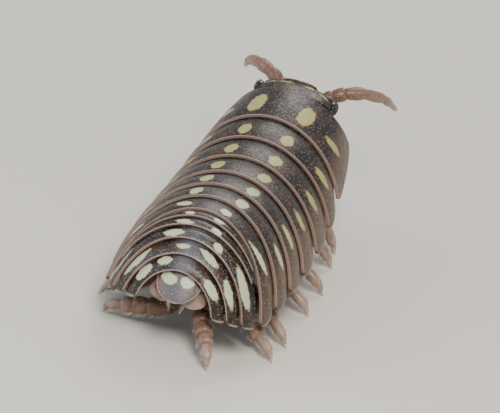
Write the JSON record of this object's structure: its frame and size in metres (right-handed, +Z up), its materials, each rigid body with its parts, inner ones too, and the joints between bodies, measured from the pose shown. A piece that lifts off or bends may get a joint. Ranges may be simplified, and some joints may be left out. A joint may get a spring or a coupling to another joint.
{
  "type": "pill woodlouse",
  "caption": "Life-size still model of a walking pill woodlouse: arched overlapping plates, a rounded tail plate, elbowed feelers and short jointed legs, for display.",
  "frame": {"origin": "on the floor under the middle of the animal's box", "axes": "+X towards the animal's left side, +Y towards its tail, +Z up; the head points along -Y"},
  "size_m": [0.0048, 0.0112, 0.0037],
  "materials": {
    "shell_cuticle": "satin dark brown chitin with pale green spots",
    "limb_cuticle": "translucent brown chitin",
    "eye": "glossy black",
    "gill_cuticle": "pale thin chitin"
  },
  "bodies": {
    "root": {"head": "shell_cuticle", "pereonite_1": "shell_cuticle", "pereonite_2": "shell_cuticle", "pereonite_3": "shell_cuticle", "pereonite_4": "shell_cuticle", "pereonite_5": "shell_cuticle", "pereonite_6": "shell_cuticle", "pereonite_7": "shell_cuticle", "pleonite_1": "shell_cuticle", "pleonite_2": "shell_cuticle", "pleonite_3": "shell_cuticle", "pleonite_4": "shell_cuticle", "pleonite_5": "shell_cuticle", "telson": "shell_cuticle", "pleopods": "gill_cuticle", "eye_left": "eye", "antenna_left": "limb_cuticle", "uropod_left": "shell_cuticle", "leg_1_left": "limb_cuticle", "leg_2_left": "limb_cuticle", "leg_3_left": "limb_cuticle", "leg_4_left": "limb_cuticle", "leg_5_left": "limb_cuticle", "leg_6_left": "limb_cuticle", "leg_7_left": "limb_cuticle", "eye_right": "eye", "antenna_right": "limb_cuticle", "uropod_right": "shell_cuticle", "leg_1_right": "limb_cuticle", "leg_2_right": "limb_cuticle", "leg_3_right": "limb_cuticle", "leg_4_right": "limb_cuticle", "leg_5_right": "limb_cuticle", "leg_6_right": "limb_cuticle", "leg_7_right": "limb_cuticle"}
  },
  "joints": []
}
